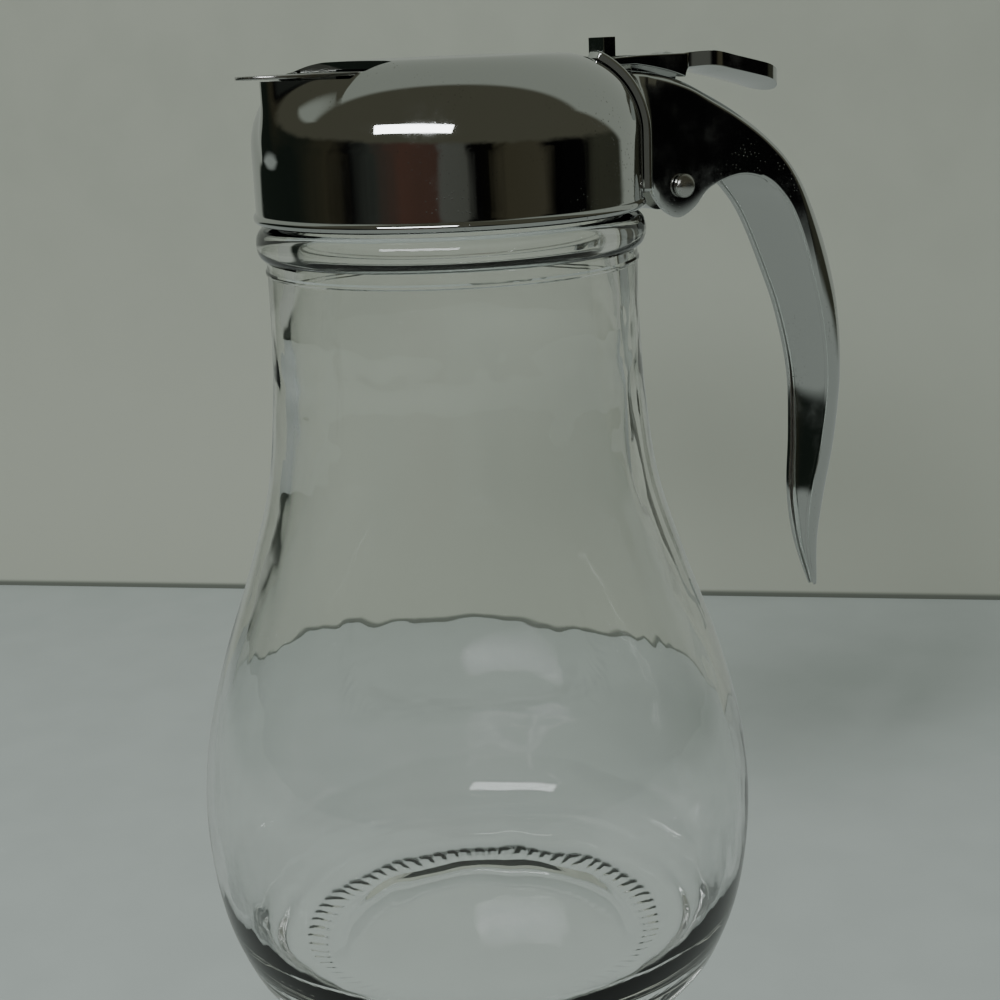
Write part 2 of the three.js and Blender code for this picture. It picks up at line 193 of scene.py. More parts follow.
class Wire:
    def __init__(self, tree, socket=None):
        self.tree = tree
        self.socket = socket

    def node(self, kind, settings=None, sockets=None, out=0):
        made = self.tree.nodes.new(kind)
        for name, value in (settings or {}).items():
            if name == "stops":
                ramp = made.color_ramp.elements
                ramp[0].position, ramp[0].color = value[0]
                ramp[1].position, ramp[1].color = value[-1]
                for place, colour in value[1:-1]:
                    ramp.new(place).color = colour
            else:
                setattr(made, name, value)
        for name, value in (sockets or {}).items():
            if isinstance(value, Wire):
                self.tree.links.new(value.socket, made.inputs[name])
            else:
                made.inputs[name].default_value = value
        return Wire(self.tree, made.outputs[out]) if made.outputs else None

    def maths(self, operation, first, second=0.0):
        return self.node("ShaderNodeMath", {"operation": operation}, {0: first, 1: second})

    def __add__(self, other):
        return self.maths("ADD", self, other)

    def __radd__(self, other):
        return self.maths("ADD", other, self)

    def __sub__(self, other):
        return self.maths("SUBTRACT", self, other)

    def __rsub__(self, other):
        return self.maths("SUBTRACT", other, self)

    def __mul__(self, other):
        return self.maths("MULTIPLY", self, other)

    def __rmul__(self, other):
        return self.maths("MULTIPLY", other, self)

    def noise(self, place, scale, detail, roughness=0.5):
        return self.node("ShaderNodeTexNoise", {}, {
            "Vector": place, "Scale": scale, "Detail": detail, "Roughness": roughness})

    def ramp(self, start, end, low=0.0, high=1.0):  # eases from low to high as the value goes from start to end
        return self.node("ShaderNodeMapRange", {"interpolation_type": "SMOOTHSTEP"}, {
            "Value": self, "From Min": start, "From Max": end, "To Min": low, "To Max": high})

    def tint(self, first, second):  # a colour between two colours, by this value
        return self.node("ShaderNodeMix", {"data_type": "RGBA"}, {0: self, 6: first, 7: second}, 2)


def newFinish(name):  # an empty material with its shader and the object's own coordinates
    material = bpy.data.materials.new(name)
    material.use_nodes = True
    tree = material.node_tree
    shader = tree.nodes["Principled BSDF"]
    wire = Wire(tree)
    place = wire.node("ShaderNodeTexCoord", out="Object")
    return material, shader, wire, place


def feed(shader, **values):  # links wires to the shader's sockets and sets plain values on them
    for name, value in values.items():
        socket = shader.inputs[name.replace("_", " ")]
        if isinstance(value, Wire):
            value.tree.links.new(value.socket, socket)
        else:
            socket.default_value = value


glassLook = {
    "tone": (0.978, 0.986, 0.976, 1.0),
    "thinTone": (0.988, 0.992, 0.986, 1.0),
    "bend": 1.5,
    "cloudScale": 22.0,
    "rippleScale": 85.0,
    "rippleDepth": 0.00005,
    "smearScale": 140.0,
    "smear": 0.02,
}


def glassFinish():
    look = glassLook
    material, shader, wire, place = newFinish("clearGlass")
    cloud = wire.noise(place, look["cloudScale"], 2.0)
    ripple = wire.noise(place, look["rippleScale"], 2.0)
    smear = wire.noise(place, look["smearScale"], 3.0)
    bump = wire.node("ShaderNodeBump", {}, {"Height": ripple, "Strength": 0.25, "Distance": look["rippleDepth"]})
    feed(shader, Base_Color=cloud.ramp(0.3, 0.7).tint(look["tone"], look["thinTone"]),
         Roughness=smear.ramp(0.45, 0.8, 0.0, look["smear"]), Normal=bump,
         Transmission_Weight=1.0, IOR=look["bend"])
    return material


chromeLook = {
    "tone": (0.57, 0.58, 0.565, 1.0),
    "pitTone": (0.16, 0.15, 0.13, 1.0),
    "cloudScale": 150.0,
    "patchScale": 55.0,
    "pitScale": 1500.0,
    "waveScale": 75.0,
    "spun": {"gloss": 0.035, "smear": 0.10, "wobble": 0.00006},
    "cast": {"gloss": 0.06, "smear": 0.14, "wobble": 0.00015},
}


def chromeFinish(name, gloss, smear, wobble):
    look = chromeLook
    material, shader, wire, place = newFinish(name)
    cloud = wire.noise(place, look["cloudScale"], 5.0, 0.65)
    patch = wire.noise(place, look["patchScale"], 2.0)
    speck = wire.node("ShaderNodeTexVoronoi", {}, {"Vector": place, "Scale": look["pitScale"]})
    waves = wire.noise(place, look["waveScale"], 1.0)
    pits = speck.ramp(0.10, 0.20, 1.0, 0.0) * patch.ramp(0.50, 0.68)
    bump = wire.node("ShaderNodeBump", {}, {"Height": waves - 0.3 * pits, "Strength": 0.35, "Distance": wobble})
    feed(shader, Base_Color=(pits * 0.8).tint(look["tone"], look["pitTone"]),
         Roughness=cloud.ramp(0.42, 0.78, gloss, gloss + smear) + pits * 0.2, Normal=bump, Metallic=1.0)
    return material


steelLook = {
    "tone": (0.50, 0.50, 0.48, 1.0),
    "stainTone": (0.38, 0.37, 0.34, 1.0),
    "stainScale": 180.0,
    "streakScale": (60.0, 2600.0, 2600.0),
    "streakDepth": 0.00002,
    "gloss": (0.16, 0.30),
}


def steelFinish():  # drawn sheet steel with fine streaks along the blade
    look = steelLook
    material, shader, wire, place = newFinish("drawnSteel")
    drawn = wire.node("ShaderNodeMapping", {}, {"Vector": place, "Scale": look["streakScale"]})
    streak = wire.noise(drawn, 1.0, 3.0)
    stain = wire.noise(place, look["stainScale"], 4.0)
    bump = wire.node("ShaderNodeBump", {}, {"Height": streak, "Strength": 0.3, "Distance": look["streakDepth"]})
    feed(shader, Base_Color=stain.ramp(0.4, 0.7).tint(look["tone"], look["stainTone"]),
         Roughness=streak.ramp(0.3, 0.7, *look["gloss"]), Normal=bump, Metallic=1.0)
    return material


clearGlass = glassFinish()
capChrome = chromeFinish("capChrome", **chromeLook["spun"])
castChrome = chromeFinish("castChrome", **chromeLook["cast"])
drawnSteel = steelFinish()
print("finishes ready")


def settle(piece, body, node, finish):
    piece.data.materials.clear()
    piece.data.materials.append(finish)
    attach(piece, body)
    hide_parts(node)
    print(piece.name, "made,", len(piece.data.polygons), "faces, rides on", body)


# glass jar, in mm: (radius, height)

jarForm = {
    "pushUp": [(0.0, 1.0), (8.0, 1.0), (16.0, 0.95), (22.0, 0.75), (25.2, 0.3), (27.0, 0.0)],
    "knurlBand": [27.6, 28.4, 29.4, 30.4, 31.2, 32.0],
    "heel": [(33.0, 0.0), (35.0, 0.35), (36.8, 1.4), (38.4, 3.6)],
    "outerWall": [(38.4, 3.6), (40.9, 7.3), (44.0, 16.6), (45.3, 29.6), (44.2, 42.6), (40.5, 56.9), (35.4, 71.1),
                  (31.1, 85.3), (29.3, 99.5), (28.7, 110.2), (28.6, 119.0)],
    "seam": [(28.6, 119.3), (28.85, 119.55), (28.85, 119.85), (28.6, 120.1)],
    "bead": {"centre": (28.6, 124.0), "radius": (1.4, 2.4)},
    "finishRadius": 26.6,
    "ledge": 126.4,
    "lip": {"centre": (25.0, 136.8), "radius": 1.6},
    "innerWall": [(23.4, 125.7), (25.0, 114.0), (25.4, 106.0), (25.7, 99.0), (27.5, 85.3), (32.2, 71.1), (37.7, 56.9),
                  (41.9, 42.6), (43.1, 29.6), (41.4, 16.6), (36.0, 9.0), (27.0, 6.3)],
    "floor": [(18.0, 6.1), (9.0, 6.0), (0.0, 6.0)],
    "spinSteps": 288,
    "knurlTeeth": 72,
    "knurlDepth": 0.25,
    "ripples": [(0.12, 4.0), (0.35, 24.0)],  # height and size of the waves on the inner wall
    "rippleFoot": (5.9, 9.0),  # the waves set in between these heights, and die out between the next two
    "rippleTop": (124.0, 112.0),
    "innerReach": 0.9,
    "slack": 0.05,  # for telling rows of points apart
}


def makeJar():
    form = jarForm
    innerPath = splineThrough(form["innerWall"], 6)
    profile = form["pushUp"] + [(r, 0.0) for r in form["knurlBand"]]
    profile += [tuple(p) for p in splineThrough(form["heel"], 4)][:-1]
    profile += [tuple(p) for p in splineThrough(form["outerWall"], 5)]
    profile += form["seam"]
    profile += arc(form["bead"]["centre"], form["bead"]["radius"], -90, 90, 12)
    profile += [(form["finishRadius"], form["ledge"])]
    profile += arc(form["lip"]["centre"], form["lip"]["radius"], 0, 180, 8)
    profile += [tuple(p) for p in innerPath]
    profile += form["floor"]
    jar = spun("glass_jar_skin", profile, form["spinSteps"])

    # knurled ring under the foot
    perTooth = form["spinSteps"] // form["knurlTeeth"]
    bandLow, bandHigh = form["knurlBand"][1] - form["slack"], form["knurlBand"][-2] + form["slack"]

    def groove(point):
        radius = math.hypot(point.co.x, point.co.y) / mm
        step = round(math.atan2(point.co.y, point.co.x) / math.tau * form["spinSteps"])
        inBand = point.co.z < form["slack"] * mm and bandLow < radius < bandHigh
        return inBand and step % perTooth < perTooth // 2

    workOn(jar)
    bpy.ops.object.mode_set(mode="EDIT")
    pick(groove)
    bpy.ops.transform.translate(value=(0, 0, form["knurlDepth"] * mm))
    bpy.ops.object.mode_set(mode="OBJECT")

    # the pressed glass is uneven inside
    inner = jar.vertex_groups.new(name="innerWall")
    floorEdge = form["innerWall"][-1][1]
    for point in jar.data.vertices:
        radius, height = math.hypot(point.co.x, point.co.y) / mm, point.co.z / mm
        weight = blend(*form["rippleTop"], height) * blend(*form["rippleFoot"], height)
        if weight == 0:
            continue
        nearest = min(innerPath, key=lambda p: abs(p.y - height)).x if height > floorEdge else math.inf
        if radius < nearest + form["innerReach"]:
            inner.add([point.index], weight, "REPLACE")
    for number, (height, size) in enumerate(form["ripples"]):
        waves = bpy.data.textures.new("glassWaves%d" % number, "CLOUDS")
        waves.noise_scale = size * mm
        waves.noise_depth = 1
        modify(jar, "DISPLACE", texture=waves, strength=height * mm, mid_level=0.5,
               vertex_group="innerWall", texture_coords="LOCAL")
    smoothBy(jar, 40, keepFlat=False)
    jar.visible_shadow = jar.visible_diffuse = False  # clear glass lets the light through to the table
    settle(jar, "server", "glass_jar", clearGlass)


makeJar()


# cap with its beak, in mm

capForm = {
    "radius": 29.6,
    "rim": 127.2,
    "roll": 0.8,
    "rollProud": 0.45,
    "shoulder": 12.3,
    "top": 150.3,
    "crown": 0.25,
    "wall": 1.4,
    "hollowBend": 10.1,
    "spinSteps": 360,
    "noseCentre": 25.6,
    "noseRadius": 4.2,
    "flankAngle": 54.0,
    "beakHalfWidth": 11.5,
    "beakFoot": 136.5,
    "beakLean": 1.2,
    "leanHeight": 5.0,
    "fillet": 2.6,
    "deck": 148.1,
    "deckBack": -15.2,
    "tunnelHalfWidth": 5.75,
    "tunnelTop": 149.2,
    "pourHalfWidth": 2.8,
    "pourBack": -21.0,
    "topSteps": 8,
    "rollStep": 0.2,
    "hollowFlat": 9.0,
    "beakWidest": 40.0,  # degrees to either side of the nose
    "beakBack": -5.0,
    "beakRise": 0.9,
    "skinDepth": 0.5,
    "slack": 0.1,
    "deckMargin": 0.4,
    "past": 5.0,  # how far the cutting blocks reach beyond the metal
}


def capProfile(clearance):  # from the axis over the top and the shoulder to the wall's upper edge
    form = capForm
    centre = (form["radius"] - form["shoulder"], form["top"] - form["shoulder"])
    steps = form["topSteps"]
    top = []
    for i in range(steps):
        crown = form["crown"] * (1 - (i / steps) ** 2)
        top.append((centre[0] * i / steps, form["top"] + crown + clearance))
    return top + arc(centre, form["shoulder"] + clearance, 90, 0, 36)


def beakReach(turn, height, inset):  # distance from the axis to the beak's side, at a turn from its nose
    form = capForm
    turn = abs(turn)
    low = (height - form["beakFoot"]) / form["leanHeight"]
    if low <= 0 or turn > math.radians(form["beakWidest"]):
        return 0
    centre = form["noseCentre"] - form["beakLean"] * max(0, 1 - low) ** 2
    nose = form["noseRadius"] - inset
    flank = math.radians(form["flankAngle"])
    tangent = math.atan2(nose * math.cos(flank), centre + nose * math.sin(flank))
    if turn < tangent:
        return centre * math.cos(turn) + math.sqrt(max(nose ** 2 - (centre * math.sin(turn)) ** 2, 0))
    toFlank = (nose + centre * math.sin(flank)) / math.sin(flank + turn)
    return min(toFlank, (form["beakHalfWidth"] - inset) / math.sin(turn))


def makeCap():
    form = capForm
    rollX = form["radius"] + form["rollProud"] - form["roll"]
    hollow = form["radius"] - form["wall"]
    hollowTop = form["deck"] - form["wall"]
    bend = form["hollowBend"]
    wallFoot = form["rim"] + 2 * form["roll"]
    shoulderZ = form["top"] - form["shoulder"]
    wallSteps = [shoulderZ - i for i in range(1, 9)] + [wallFoot + form["rollStep"]]
    profile = capProfile(0) + [(form["radius"], z) for z in wallSteps if z > wallFoot]
    profile += arc((rollX, form["rim"] + form["roll"]), form["roll"], 62, -90, 12)
    profile += [(hollow, form["rim"] + form["rollStep"])]
    profile += [(hollow, form["rim"] + i) for i in range(2, 9)]
    profile += arc((hollow - bend, hollowTop - bend), bend, 0, 90, 20)
    profile += [(form["hollowFlat"], hollowTop), (0.0, hollowTop)]
    cap = spun("cap_skin", profile, form["spinSteps"])

    # the beak is pressed out of the shoulder, with a soft valley where it leaves the dome
    beakTop = form["deck"] + form["beakRise"]
    for point in cap.data.vertices:
        x, y, z = point.co / mm
        if x > form["beakBack"] or z < form["beakFoot"] or z > beakTop:
            continue
        radius, turn = math.hypot(x, y), math.atan2(y, -x)
        skin = form["radius"]
        if z > shoulderZ:
            curve = math.sqrt(max(form["shoulder"] ** 2 - (z - shoulderZ) ** 2, 0))
            skin = form["radius"] - form["shoulder"] + curve
        outside = radius > skin - form["skinDepth"]
        if not outside and radius < hollow - bend - form["slack"]:
            continue
        reach = beakReach(turn, z, 0 if outside else form["wall"])
        if reach > 0:
            grown = softMax(radius, reach, form["fillet"])
            point.co *= Vector((grown / radius, grown / radius, 1.0))

    past = form["past"]
    halfDeck = form["beakHalfWidth"] + form["deckMargin"]
    cutWith(cap, blockAt("deckCut", (-form["radius"] - past, -halfDeck, form["deck"]),
                         (form["deckBack"], halfDeck, form["top"] + past)))
    cutWith(cap, blockAt("tunnelCut", (form["deckBack"] - past, -form["tunnelHalfWidth"], form["deck"]),
                         (form["radius"] + past, form["tunnelHalfWidth"], form["tunnelTop"])))
    pour = arc((-form["noseCentre"], 0), form["pourHalfWidth"], 90, 270, 24)
    pour += [(form["pourBack"], -form["pourHalfWidth"]), (form["pourBack"], form["pourHalfWidth"])]
    cutWith(cap, plateFrom("pourCut", pour, hollowTop - form["wall"], form["deck"] + form["wall"]))
    smoothBy(cap, 32)
    settle(cap, "server", "cap", capChrome)


makeCap()


# cut-off blade, in mm

bladeForm = {
    "tip": -33.4,
    "halfWidth": 5.3,
    "bottom": 148.4,
    "thickness": 0.5,
    "shoulder": 24.0,
    "tongueHalfWidth": 3.5,
    "tongueEnd": 32.6,
    "windowFront": 27.5,
    "windowBack": 31.0,
    "windowHalfWidth": 2.45,
    "past": 1.0,
    "edge": 0.12,
}


def makeBlade():
    form = bladeForm
    half, tongue = form["halfWidth"], form["tongueHalfWidth"]
    outline = arc((form["tip"] + half, 0), half, 90, 270, 40)
    outline += [(form["shoulder"], -half), (form["shoulder"], -tongue), (form["tongueEnd"], -tongue),
                (form["tongueEnd"], tongue), (form["shoulder"], tongue), (form["shoulder"], half)]
    top = form["bottom"] + form["thickness"]
    blade = plateFrom("blade_strip", outline, form["bottom"], top)
    cutWith(blade, blockAt("windowCut",
                           (form["windowFront"], -form["windowHalfWidth"], form["bottom"] - form["past"]),
                           (form["windowBack"], form["windowHalfWidth"], top + form["past"])))
    roundEdges(blade, form["edge"], 2, 60)
    smoothBy(blade, 40)
    settle(blade, "blade", "blade", drawnSteel)


makeBlade()


# lever, in mm; side outlines are (x, z)

leverForm = {
    "pivot": (38.7, 128.7),
    "eye": 4.2,
    "bore": 1.8,
    "eyeReach": 9.0,
    "stud": (28.1, 30.4, 152.3),
    "webHalfWidth": 2.1,
    "webBottom": 145.6,
    "webFloor": 146.3,
    "webTop": 148.4,
    "legFront": 3.2,
    "legBack": 3.0,
    "legTop": 143.0,
    "armHalfWidth": 4.85,
    "armFront": 24.6,
    "armNotch": 33.4,
    "armBack": 44.0,
    "armTop": 149.3,
    "armBottom": 147.9,
    "fin": (42.3, 145.55),
    "finBend": 1.0,
    "archLift": 0.7,
    "archEnd": 1.0,
    "tipSlope": 3.0,
    "forkTip": (148.25, 148.95),
    "forkHalfWidth": 3.85,
    "forkCut": (140.0, 156.0),
    "past": 5.0,
    "padSpine": [(41.0, 149.6), (46.0, 149.9), (51.0, 148.9), (59.4, 147.0), (63.0, 145.9)],
    "padFlare": 7.0,
    "padHalfWidth": 7.5,
    "padEndRadius": 6.5,
    "padThickness": 2.6,
    "padDish": 0.8,
    "padRootInset": 0.4,
    "padRows": (64, 26),  # along the straight part and around the end
    "padColumns": 33,
    "padEndTurn": 87.0,
    "padSlack": 0.5,
    "padEdge": 0.35,
    "ribsFrom": 46.0,
    "ribsIn": 1.0,
    "ribsOut": (0.8, 2.0),
    "ribPitch": 1.83,
    "ribHeight": 0.4,
    "ribFade": 1.3,
    "edge": 0.22,
}


def bezierPath(start, control, end, steps):  # a bend with one control point
    points = []
    for i in range(1, steps + 1):
        t = i / steps
        points.append(tuple((1 - t) ** 2 * a + 2 * t * (1 - t) * b + t * t * c
                            for a, b, c in zip(start, control, end)))
    return points


def pivotDrill(name, reach):  # for the hole that the rivet goes through
    px, pz = leverForm["pivot"]
    bore = leverForm["bore"]
    return spun(name, [(0, -reach), (bore, -reach), (bore, reach), (0, reach)], 40, "Y", (px, 0, pz))


def makePad():
    form = leverForm
    spine = splineThrough(form["padSpine"], 32)
    startX, endX = form["padSpine"][0][0], form["padSpine"][-1][0]
    bendX = endX - form["padEndRadius"]
    straightRows, endRows = form["padRows"]
    across = form["padColumns"]
    rows = [(startX + (bendX - startX) * i / straightRows, 1.0) for i in range(straightRows)]
    for i in range(endRows + 1):  # the end is round in plan
        turn = math.radians(form["padEndTurn"]) * i / endRows
        rows.append((bendX + form["padEndRadius"] * math.sin(turn), math.cos(turn)))

    def topAt(x):
        after = next((i for i, p in enumerate(spine) if p.x >= x), len(spine) - 1)
        a, b = spine[max(after - 1, 0)], spine[max(after, 1)]
        return a.y + (b.y - a.y) * (x - a.x) / (b.x - a.x)

    def placeAt(row, column):
        x, narrow = rows[row]
        side = 2 * column / (across - 1) - 1
        flare = blend(startX, startX + form["padFlare"], x)
        root = form["armHalfWidth"] - form["padRootInset"]
        half = narrow * (root + (form["padHalfWidth"] - root) * flare)
        return x, side * half, topAt(x) - form["padDish"] * (1 - (side * narrow) ** 2) - form["ribHeight"]

    pad = gridOf("thumbPad", len(rows), across, placeAt)
    workOn(pad)
    bpy.ops.object.mode_set(mode="EDIT")
    bpy.ops.mesh.select_all(action="SELECT")
    drop = form["padThickness"] - form["ribHeight"]
    bpy.ops.mesh.extrude_region_move(TRANSFORM_OT_translate={"value": (0, 0, -drop * mm)})
    cleanUp()
    bpy.ops.object.mode_set(mode="OBJECT")
    roundEdges(pad, form["padEdge"], 3, 50)

    # cross ribs stand up from the dished top
    for point in pad.data.vertices:
        x, y, z = point.co / mm
        if z < topAt(min(x, endX)) - form["padDish"] - form["ribHeight"] - form["padSlack"]:
            continue
        narrow = math.sqrt(max(1 - max(0, (x - bendX) / form["padEndRadius"]) ** 2, 0.001))
        half = narrow * form["padHalfWidth"]
        wave = math.sin(math.pi * (x - form["ribsFrom"]) / form["ribPitch"]) ** 2
        start = blend(form["ribsFrom"], form["ribsFrom"] + form["ribsIn"], x)
        end = blend(endX - form["ribsOut"][0], endX - form["ribsOut"][1], x)
        inside = blend(half, half - form["ribFade"], abs(y)) * start
        point.co.z += form["ribHeight"] * wave * inside * end * mm
    return pad


def makeLever():
    form = leverForm
    px, pz = form["pivot"]
    studFront, studBack, studTop = form["stud"]
    legMiddle = (pz + form["webTop"]) / 2
    side = [(studFront, form["webBottom"]), (studFront, studTop), (studBack, studTop), (studBack, form["webFloor"]),
            (form["armNotch"], form["webFloor"]), (form["armNotch"], form["webTop"])]
    heel = (px + form["eye"], form["webTop"])
    side += [heel] + bezierPath(heel, (px + form["legBack"], form["legTop"]), (px + form["legBack"], legMiddle), 10)
    eye = arc((px, pz), form["eye"], 0, -180, 24)
    throat = (px - form["legFront"], form["legTop"])
    side += eye + bezierPath(eye[-1], (px - form["legBack"], legMiddle), throat, 8)
    side += bezierPath(throat, (px - form["eye"], form["webBottom"]), (px - 2 * form["legFront"], form["webBottom"]), 8)
    lever = plateFrom("lever_body", side, -form["webHalfWidth"], form["webHalfWidth"], "XZ")
    cutWith(lever, pivotDrill("eyeCut", form["eyeReach"]))
    roundEdges(lever, form["edge"], 2, 55)

    armFront, notch, back = form["armFront"], form["armNotch"], form["armBack"]
    finX, finZ = form["fin"]
    low = form["armBottom"]
    tipLow, tipHigh = form["forkTip"]
    outline = [(armFront, tipLow), (armFront, tipHigh), (notch, form["armTop"]), (back, form["armTop"]), (back, low)]
    outline += bezierPath((back, low), (finX, low - form["finBend"]), (finX, finZ), 8)
    arch = (px, form["webFloor"] + form["archLift"])
    outline += bezierPath((finX, finZ), arch, (notch - form["archEnd"], low), 12)
    outline += [(armFront + form["tipSlope"], low)]
    arm = plateFrom("arm", outline, -form["armHalfWidth"], form["armHalfWidth"], "XZ")
    cutLow, cutHigh = form["forkCut"]
    cutWith(arm, blockAt("forkCut", (armFront - form["past"], -form["forkHalfWidth"], cutLow),
                         (notch, form["forkHalfWidth"], cutHigh)))
    roundEdges(arm, 0.8 * form["edge"], 2, 55)
    cutWith(lever, arm, "UNION")
    cutWith(lever, makePad(), "UNION")
    smoothBy(lever, 35)
    settle(lever, "lever", "lever", castChrome)


makeLever()


# rivet that the lever turns on, in mm

rivetForm = {"pin": 1.5, "head": 1.9, "rise": 1.2, "seat": 8.5, "rimStep": 0.35, "spinSteps": 48}


def makeRivet():
    form = rivetForm
    px, pz = leverForm["pivot"]
    half = [(form["pin"], form["seat"]), (form["head"], form["seat"]), (form["head"], form["seat"] + form["rimStep"])]
    half += arc((0, form["seat"] + form["rimStep"]), (form["head"], form["rise"] - form["rimStep"]), 8, 90, 10)
    half[-1] = (0.0, form["seat"] + form["rise"])
    other = [(r, -h) for r, h in reversed(half)]
    rivet = spun("pivot_rivet_pin", other + half, form["spinSteps"], "Y", (px, 0, pz))
    smoothBy(rivet, 40)
    settle(rivet, "server", "pivot_rivet", drawnSteel)


makeRivet()


# claw handle with its saddle, in mm; each station is the spine's x and z, then the free edge's

handleForm = {
    "stations": [
        (27.0, 147.6, 28.6, 129.8), (31.6, 147.2, 32.2, 129.2), (33.6, 147.0, 33.3, 127.2),
        (36.0, 146.7, 35.4, 124.8), (38.5, 146.2, 38.2, 123.6), (41.0, 145.5, 41.4, 125.0),
        (44.5, 144.0, 44.6, 127.9), (50.0, 141.3, 50.8, 129.5), (56.5, 137.4, 56.4, 128.3),
        (63.0, 132.4, 60.4, 125.2), (68.6, 126.0, 63.9, 120.2), (74.1, 116.0, 67.8, 111.5),
        (77.6, 104.5, 70.9, 102.8), (78.8, 92.2, 73.0, 91.8), (78.0, 79.4, 72.6, 80.4),
        (76.3, 69.0, 71.3, 70.0), (75.3, 60.5, 71.8, 60.8), (75.6, 51.6, 74.6, 51.4)],
    "rowsPerStation": 7,
    "wall": 1.2,
    "cheekHalfWidth": 8.2,
    "tipHalfWidth": 0.9,
    "taperPower": 1.6,
    # numbers of stations
    "taperFrom": 9,
    "filledFrom": (7, 9),
    "roundFrom": (8.5, 11.5),
    "tuckFrom": (6.8, 5.0),
    "flareTo": 6,
    # sizes again
    "backStart": 1.0,
    "backGrowth": 0.26,
    "saddleGap": 0.3,
    "saddleThickness": 1.2,
    "saddleBottom": 129.2,
    "saddleTopRadius": 23.5,
    "saddleHalfAngle": 33.0,
    "filletRadius": 3.2,
    "gripRound": 0.88,
    "cheekTuck": 0.12,
    "tuckDepth": 3.0,
    "gripRecess": 0.9,
    "edge": 0.3,
    "saddleEdge": 0.45,
    "saddleTrim": 0.5,
    "cheekSteps": 12,
    "arcSteps": 12,
    # front, back, half width and floor
    "bladeNotch": (15.0, 33.4, 6.05, 147.4),
    "webSlot": (26.5, 49.5, 2.6, 138.0),
    # how far the cutting pieces reach
    "slotOver": 10.0,
    "clearanceDrop": 8.0,
    "boreReach": 14.0,
}


def offCap(x, y, z):  # distance outside the cap's skin
    form = capForm
    radius, shoulderZ = math.hypot(x, y), form["top"] - form["shoulder"]
    if z < shoulderZ:
        return radius - form["radius"]
    return math.hypot(radius - form["radius"] + form["shoulder"], z - shoulderZ) - form["shoulder"]


def handleHalfWidth(station):
    form = handleForm
    along = max(0, (station - form["taperFrom"]) / (len(form["stations"]) - 1 - form["taperFrom"]))
    return form["cheekHalfWidth"] + (form["tipHalfWidth"] - form["cheekHalfWidth"]) * along ** form["taperPower"]


def handleSection(station, depth):  # a closed section of (across, down, outward), the right half and then the left
    form = handleForm
    cheekSteps, arcSteps = form["cheekSteps"], form["arcSteps"]
    half = handleHalfWidth(station)
    wall = min(form["wall"], 0.45 * half, 0.45 * depth)
    recess = min(form["gripRecess"], 0.45 * depth)
    corner = min(form["edge"], 0.25 * wall, 0.4 * recess)
    back = min(form["backStart"] + form["backGrowth"] * station, 0.5 * half)

    # hollow between the cheeks, then filled up to a shallow recess along the grip
    filled = blend(*form["filledFrom"], station)
    floor = wall + (depth - recess - wall) * filled
    bend = back + (recess / 2 - back) * filled

    # the grip is round in section, and the cheeks draw in a little at the foot of their lobe
    back += (form["gripRound"] * depth - back) * blend(*form["roundFrom"], station)
    low, inside = depth - corner, half - wall
    tuck = form["cheekTuck"] * blend(*form["tuckFrom"], station)
    tuckHigh, tuckLow = low - form["tuckDepth"], low + form["tuckDepth"]

    right = []
    for i in range(arcSteps + 1):
        turn = math.pi / 2 * i / arcSteps
        right.append((half * math.sin(turn), back - back * math.cos(turn), math.sin(turn)))
    for i in range(1, cheekSteps + 1):
        fall = back + (low - back) * i / cheekSteps
        right.append((half - tuck * blend(tuckHigh, tuckLow, fall) * 2, fall, 1.0))
    right += [(a, b, 0.6) for a, b in arc((half - tuck - corner, low), corner, 30, 90, 2)]
    right += [(a, b, 0.0) for a, b in arc((inside + corner, low), corner, 90, 180, 3)]
    right += [(inside, low + (floor + bend - low) * i / cheekSteps, 0.0) for i in range(1, cheekSteps + 1)]
    right += [(a, b, 0.0) for a, b in arc((0, floor + bend), (inside, bend), 0, -90, arcSteps)][1:]
    return right + [(-a, b, -out) for a, b, out in reversed(right[1:-1])] + right[:1]


